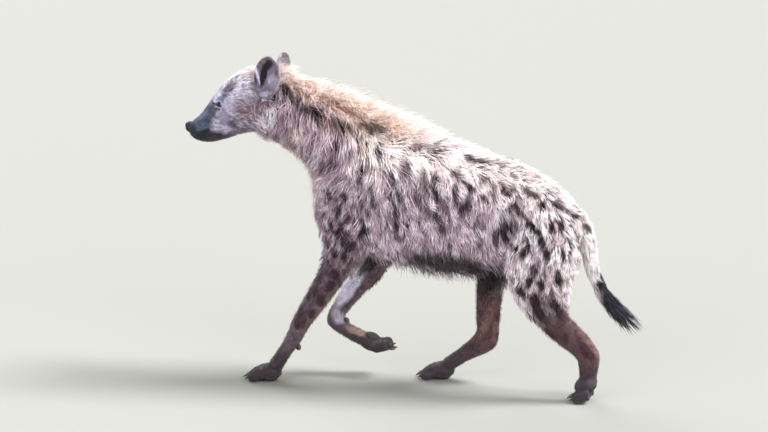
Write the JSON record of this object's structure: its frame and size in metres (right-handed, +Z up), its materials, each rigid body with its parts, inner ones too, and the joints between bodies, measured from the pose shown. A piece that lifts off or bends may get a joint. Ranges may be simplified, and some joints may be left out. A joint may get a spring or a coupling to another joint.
{
  "type": "spotted hyena",
  "caption": "Life-size still model of a spotted hyena in a trot, a forefoot lifted, with a shaggy spotted coat, a crest along the neck, rounded ears and a dark tail brush.",
  "frame": {"origin": "on the floor, under the middle of the animal's box", "axes": "the animal faces -X, its left side is at -Y, +Z is up from the floor that its feet stand on"},
  "size_m": [1.409, 0.2898, 0.9758],
  "materials": {
    "body_coat": "shaggy fur, pale buff with dark brown spots",
    "mane_coat": "long bristly fur, tan to cream",
    "face_coat": "short grey fur, near black on the muzzle",
    "leg_coat": "short brown fur with darker spots",
    "foot_coat": "short dark brown fur, bare black pads",
    "tail_hair": "long coarse black hair",
    "nose_skin": "moist black pebbled skin",
    "eye": "wet dark brown"
  },
  "bodies": {
    "root": {"ear_left": "face_coat", "ear_right": "face_coat", "eye_left": "eye", "eye_right": "eye", "fore_left_foot": "foot_coat", "fore_left_lower": "leg_coat", "fore_left_upper": "body_coat", "fore_right_foot": "foot_coat", "fore_right_lower": "leg_coat", "fore_right_upper": "body_coat", "head": "face_coat", "hind_left_foot": "foot_coat", "hind_left_lower": "leg_coat", "hind_left_upper": "body_coat", "hind_right_foot": "foot_coat", "hind_right_lower": "leg_coat", "hind_right_upper": "body_coat", "neck": "mane_coat", "nose": "nose_skin", "tail": "body_coat", "tail_brush": "tail_hair", "torso": "body_coat"}
  },
  "joints": []
}
